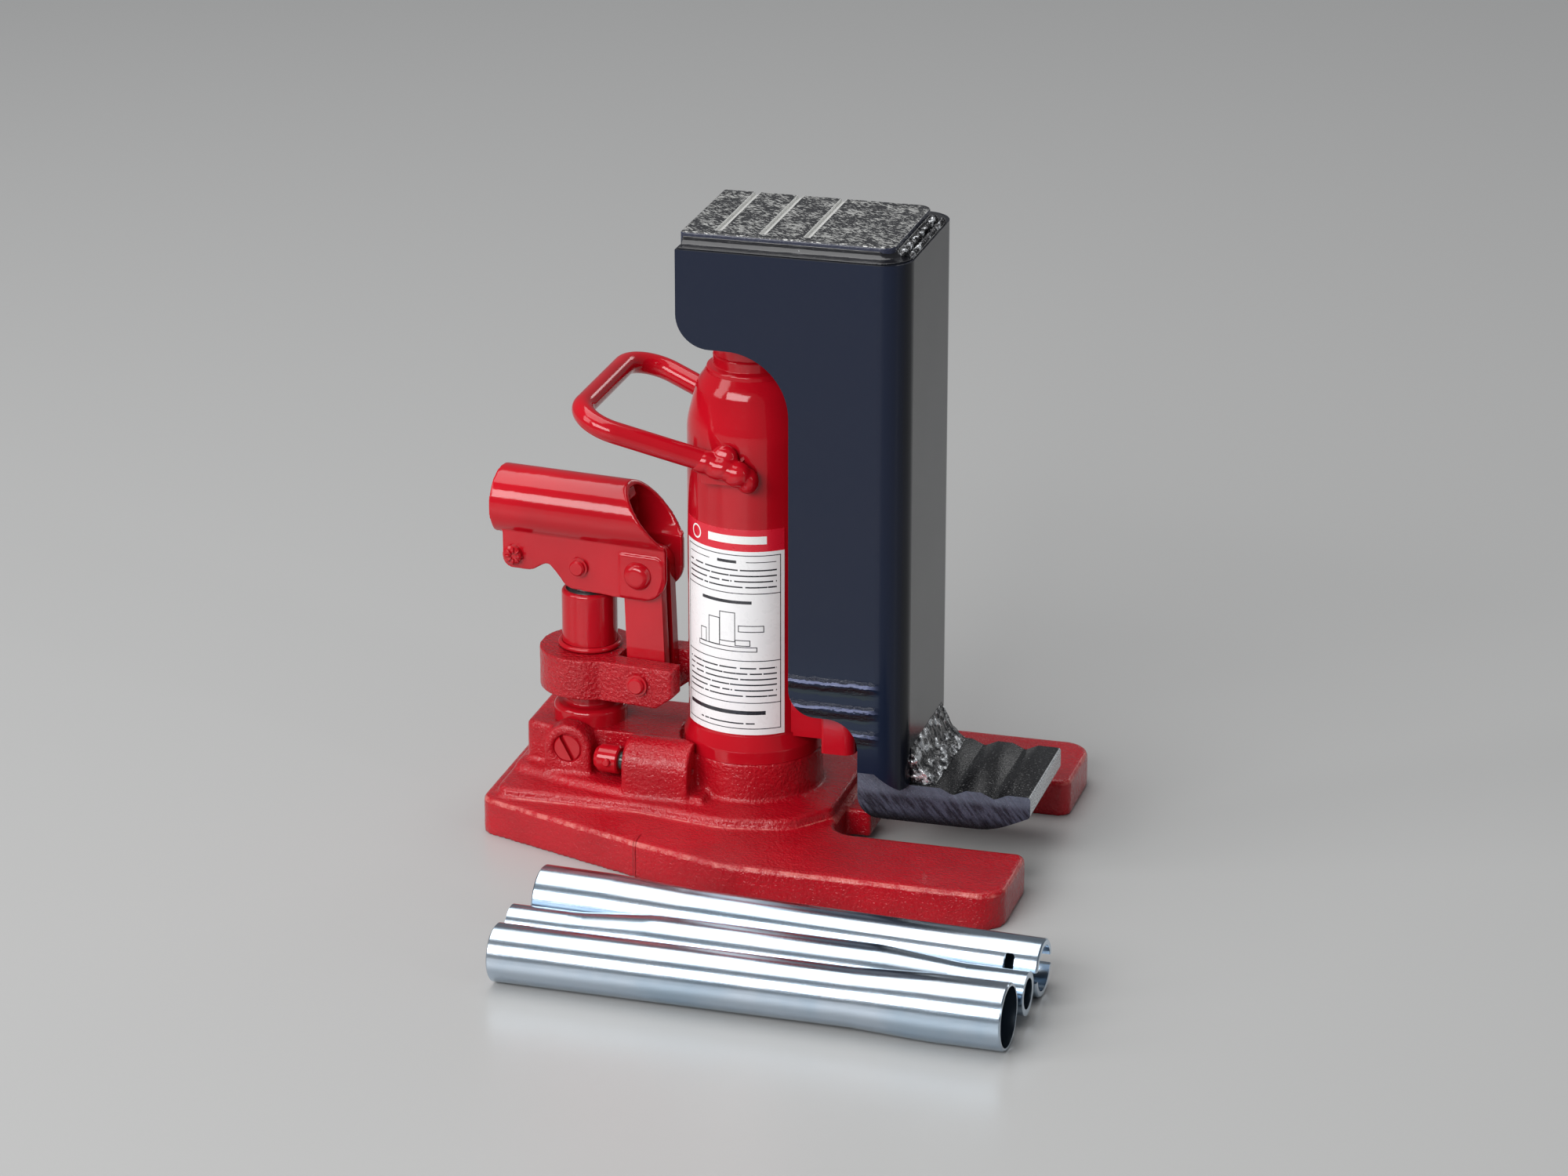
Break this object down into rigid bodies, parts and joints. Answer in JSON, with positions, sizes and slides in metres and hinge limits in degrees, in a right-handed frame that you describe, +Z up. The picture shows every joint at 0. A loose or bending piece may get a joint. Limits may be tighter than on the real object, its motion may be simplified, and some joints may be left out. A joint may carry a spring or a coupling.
{
  "type": "toe jack",
  "caption": "Hydraulic toe jack: a lever pump drives a ram that raises a channel column with a load head and a low toe; its handle tubes lie alongside.",
  "frame": {"origin": "on the ground under the axis of the reservoir and ram", "axes": "+X from the reservoir towards the toe, +Y away from the handle tubes, +Z up"},
  "size_m": [0.2346, 0.2464, 0.2322],
  "materials": {
    "red_enamel": "gloss",
    "black_enamel": "semi-gloss",
    "black_cast": "rough painted casting",
    "zinc_plate": "zinc plated",
    "ground_steel": "ground",
    "weld_metal": "rough weld bead",
    "seal_rubber": "matte",
    "label_film": "satin printed film"
  },
  "bodies": {
    "base": {"base_casting": "red_enamel", "valve_plug": "zinc_plate", "valve_spring": "ground_steel", "valve_ball": "ground_steel", "passage_plug": "zinc_plate", "suction_ball": "ground_steel", "delivery_ball": "ground_steel", "release_ball": "ground_steel", "reservoir_tank": "red_enamel", "tank_gasket": "seal_rubber", "gland_nut": "red_enamel", "ram_wiper": "seal_rubber", "pressure_cylinder": "ground_steel", "filler_plug": "seal_rubber", "label": "label_film", "guide_rail": "red_enamel", "carry_handle": "red_enamel", "handle_pad_near": "red_enamel", "handle_pad_far": "red_enamel", "pump_cylinder": "red_enamel", "pump_packing": "seal_rubber", "snap_ring": "ground_steel"},
    "lift": {"ram": "ground_steel", "ram_piston": "ground_steel", "ram_seal": "seal_rubber", "ram_stop_ring": "ground_steel", "lift_column": "black_enamel", "head_plate": "black_cast", "toe": "black_cast", "toe_weld": "weld_metal", "head_weld_near": "black_enamel", "head_weld_far": "black_enamel", "head_weld_front": "black_enamel"},
    "bracket": {"link_bracket": "red_enamel", "ear_pin": "zinc_plate"},
    "plunger": {"pump_plunger": "ground_steel"},
    "socket": {"handle_socket": "red_enamel", "plunger_pin": "zinc_plate", "fulcrum_rivet": "zinc_plate", "clamp_bolt": "zinc_plate", "clamp_nut": "zinc_plate"},
    "links": {"link_near": "zinc_plate", "link_far": "zinc_plate"},
    "release": {"release_screw": "ground_steel", "release_cross_pin": "ground_steel", "release_o_ring": "seal_rubber"},
    "front_tube": {"handle_front": "zinc_plate"},
    "middle_tube": {"handle_middle": "zinc_plate"},
    "rear_tube": {"handle_rear": "zinc_plate"}
  },
  "joints": [
    {"name": "lift_slide", "type": "slide", "parent": "base", "child": "lift", "axis": [0, 0, 1], "range_m": [0, 0.11]},
    {"name": "bracket_swivel", "type": "hinge", "parent": "base", "child": "bracket", "pos_m": [-0.0624, 0, 0.055], "axis": [0, 0, 1], "range_deg": [-4, 5]},
    {"name": "plunger_slide", "type": "slide", "parent": "bracket", "child": "plunger", "axis": [0, 0, 1], "range_m": [0, 0.0121]},
    {"name": "socket_tilt", "type": "hinge", "parent": "plunger", "child": "socket", "pos_m": [-0.0624, 0, 0.0961], "axis": [0.1045, 0.9945, 0], "range_deg": [0, 32]},
    {"name": "link_swing", "type": "hinge", "parent": "bracket", "child": "links", "pos_m": [-0.03704, -0.00266, 0.0562], "axis": [0.1045, 0.9945, 0], "range_deg": [-5.5, 0]},
    {"name": "release_turn", "type": "hinge", "parent": "base", "child": "release", "pos_m": [-0.0414, -0.0215, 0.0272], "axis": [-0.9945, 0.1045, 0], "range_deg": [0, 270]},
    {"name": "front_tube_lift", "type": "slide", "parent": "base", "child": "front_tube", "axis": [0, 0, 1], "range_m": [0, 0.1]},
    {"name": "middle_tube_lift", "type": "slide", "parent": "base", "child": "middle_tube", "axis": [0, 0, 1], "range_m": [0, 0.1]},
    {"name": "rear_tube_lift", "type": "slide", "parent": "base", "child": "rear_tube", "axis": [0, 0, 1], "range_m": [0, 0.1]}
  ],
  "couplings": [
    {"joint": "socket_tilt", "follows": "plunger_slide", "rad_per_m": 46},
    {"joint": "link_swing", "follows": "plunger_slide", "rad_per_m": -7.36}
  ]
}
